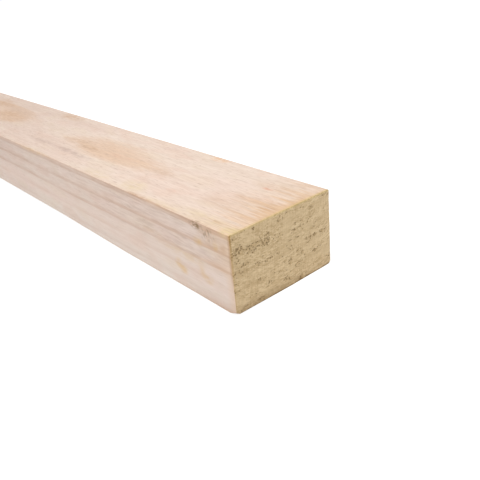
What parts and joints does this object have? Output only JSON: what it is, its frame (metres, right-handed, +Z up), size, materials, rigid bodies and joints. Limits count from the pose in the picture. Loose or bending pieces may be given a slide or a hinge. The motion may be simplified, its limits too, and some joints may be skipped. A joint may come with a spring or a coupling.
{
  "type": "timber framing plank",
  "caption": "Long straight softwood stick of oblong section with eased long edges and square-sawn ends, laid flat; stock for framing, battens and joinery.",
  "frame": {"origin": "middle of the underside, halfway along the length", "axes": "+X along the length towards the end that the picture shows, +Y across the width, +Z up through the thickness; it lies on its wide face"},
  "size_m": [2.4, 0.07, 0.045],
  "materials": {
    "sawn_pine": "bare planed softwood, pale pinkish cream with tan end grain"
  },
  "bodies": {
    "root": {"plank": "sawn_pine"}
  },
  "joints": []
}
